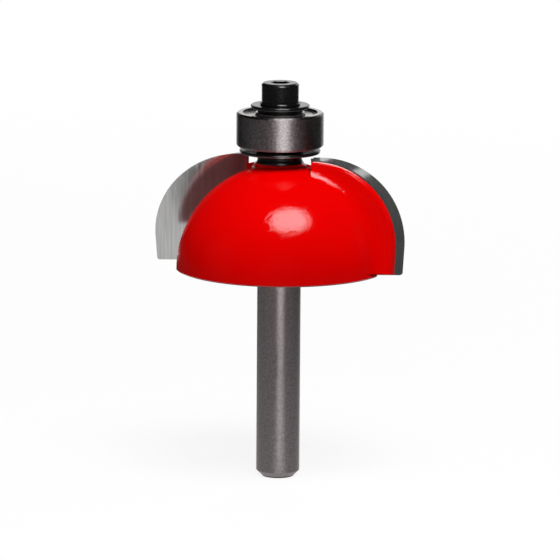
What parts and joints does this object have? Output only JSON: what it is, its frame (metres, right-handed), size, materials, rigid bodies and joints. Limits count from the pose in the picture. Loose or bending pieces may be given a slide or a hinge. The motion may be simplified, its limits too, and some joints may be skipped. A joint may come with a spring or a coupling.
{
  "type": "router bit",
  "caption": "Cove router bit with brazed carbide tips on a domed coated body, a guide bearing above the cutting edges, and a plain round shank that clamps in a collet.",
  "frame": {"origin": "centre of the shank's end face", "axes": "+Z along the shank's axis from its end to the screw's head, X along both cutting faces, Y completes the right-handed frame"},
  "size_m": [0.0364, 0.0314, 0.0583],
  "materials": {
    "body": "glossy red coating on the domed body, bare ground steel on the shank",
    "carbide": "ground tungsten carbide, fine grinding lines up the face",
    "bearing_steel": "ground bearing steel",
    "shield_sheet": "pressed bright sheet",
    "spring_wire": "bright spring steel",
    "black_washer": "black oxide, satin",
    "black_screw": "black oxide, satin"
  },
  "bodies": {
    "bit": {"cutter_body": "body", "carbide_tip_1": "carbide", "carbide_tip_2": "carbide", "lower_shield": "black_washer", "bearing_inner_ring": "bearing_steel", "upper_shield": "black_washer", "screw_washer": "black_washer", "clamp_screw": "black_screw"},
    "guide_bearing": {"bearing_outer_ring": "bearing_steel", "bearing_shield_top": "shield_sheet", "bearing_shield_bottom": "shield_sheet", "shield_ring_top": "spring_wire", "shield_ring_bottom": "spring_wire"}
  },
  "joints": [
    {"name": "bearing_spin", "type": "hinge", "parent": "bit", "child": "guide_bearing", "pos_m": [0, 0, 0.05154], "axis": [0, 0, 1], "continuous": true}
  ]
}
